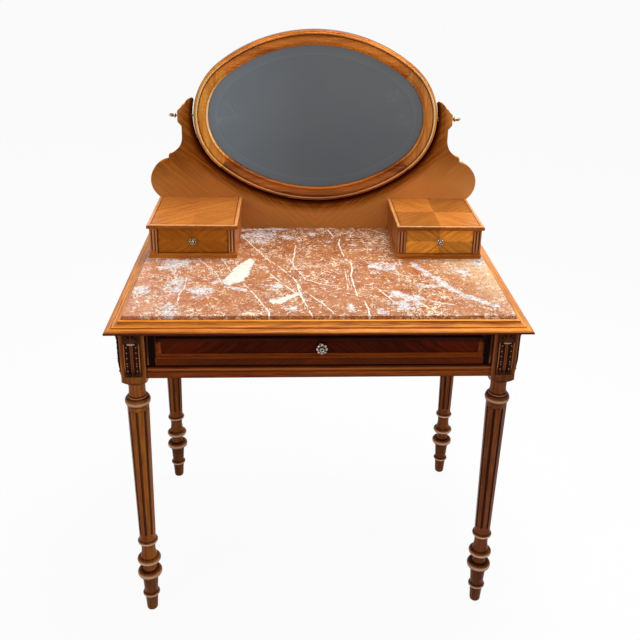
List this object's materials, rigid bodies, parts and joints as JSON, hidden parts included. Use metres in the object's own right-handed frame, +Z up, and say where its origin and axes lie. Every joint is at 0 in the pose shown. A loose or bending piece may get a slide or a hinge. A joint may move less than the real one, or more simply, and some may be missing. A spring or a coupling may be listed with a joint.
{
  "type": "dressing table",
  "caption": "Dressing table with a marble top on turned fluted legs, a wide drawer, small drawer boxes and a tilting oval mirror held by a shaped back board.",
  "frame": {"origin": "on the floor under the middle of the whole piece", "axes": "+Z up, the drawers open towards -Y, +X to the right as seen from the front"},
  "size_m": [0.86, 0.588, 1.2635],
  "materials": {
    "walnut": "french polished",
    "dark_walnut": "french polished",
    "carcase_wood": "plain",
    "drawer_wood": "waxed",
    "marble": "polished",
    "mirror": "silvered, bevelled",
    "brass": "aged",
    "knob_metal": "white metal, darkened in its hollows",
    "steel": "plain"
  },
  "bodies": {
    "carcase": {"front_left_leg": "walnut", "front_right_leg": "walnut", "rear_left_leg": "walnut", "rear_right_leg": "walnut", "front_bottom_rail": "walnut", "left_side_apron": "walnut", "right_side_apron": "walnut", "block_plaques": "walnut", "top_front_moulding": "walnut", "top_left_moulding": "walnut", "top_right_moulding": "walnut", "top_rear_rail": "walnut", "back_board": "walnut", "left_box_base": "walnut", "left_box_outer_side": "walnut", "left_box_inner_side": "walnut", "left_box_top": "walnut", "right_box_base": "walnut", "right_box_outer_side": "walnut", "right_box_inner_side": "walnut", "right_box_top": "walnut", "front_top_rail": "carcase_wood", "back_apron": "carcase_wood", "left_drawer_runner": "carcase_wood", "right_drawer_runner": "carcase_wood", "top_panel": "carcase_wood", "left_back_batten": "carcase_wood", "right_back_batten": "carcase_wood", "pivot_bushes": "brass", "marble_top": "marble", "batten_screws": "steel"},
    "main_drawer": {"main_drawer_front": "dark_walnut", "main_drawer_moulding": "dark_walnut", "main_drawer_left_side": "drawer_wood", "main_drawer_right_side": "drawer_wood", "main_drawer_back": "drawer_wood", "main_drawer_bottom": "drawer_wood", "main_drawer_knob": "knob_metal"},
    "left_drawer": {"left_drawer_front": "walnut", "left_drawer_left_side": "drawer_wood", "left_drawer_right_side": "drawer_wood", "left_drawer_back": "drawer_wood", "left_drawer_bottom": "drawer_wood", "left_drawer_knob": "knob_metal"},
    "right_drawer": {"right_drawer_front": "walnut", "right_drawer_left_side": "drawer_wood", "right_drawer_right_side": "drawer_wood", "right_drawer_back": "drawer_wood", "right_drawer_bottom": "drawer_wood", "right_drawer_knob": "knob_metal"},
    "mirror": {"mirror_frame_top": "walnut", "mirror_frame_right": "walnut", "mirror_frame_bottom": "walnut", "mirror_frame_left": "walnut", "mirror_backboard": "carcase_wood", "mirror_glass": "mirror", "pivot_sockets": "brass"},
    "left_pivot_screw": {"left_pivot_screw": "brass"},
    "right_pivot_screw": {"right_pivot_screw": "brass"}
  },
  "joints": [
    {"name": "main_drawer_slide", "type": "slide", "parent": "carcase", "child": "main_drawer", "axis": [0, -1, 0], "range_m": [0, 0.33]},
    {"name": "left_drawer_slide", "type": "slide", "parent": "carcase", "child": "left_drawer", "axis": [0, -1, 0], "range_m": [0, 0.14]},
    {"name": "right_drawer_slide", "type": "slide", "parent": "carcase", "child": "right_drawer", "axis": [0, -1, 0], "range_m": [0, 0.14]},
    {"name": "mirror_tilt", "type": "hinge", "parent": "carcase", "child": "mirror", "pos_m": [0, 0.27, 1.0505], "axis": [1, 0, 0], "range_deg": [-90, 90]},
    {"name": "left_pivot_turn", "type": "hinge", "parent": "carcase", "child": "left_pivot_screw", "pos_m": [-0.341, 0.27, 1.0505], "axis": [-1, 0, 0], "range_deg": [0, 360]},
    {"name": "right_pivot_turn", "type": "hinge", "parent": "carcase", "child": "right_pivot_screw", "pos_m": [0.341, 0.27, 1.0505], "axis": [1, 0, 0], "range_deg": [0, 360]}
  ]
}
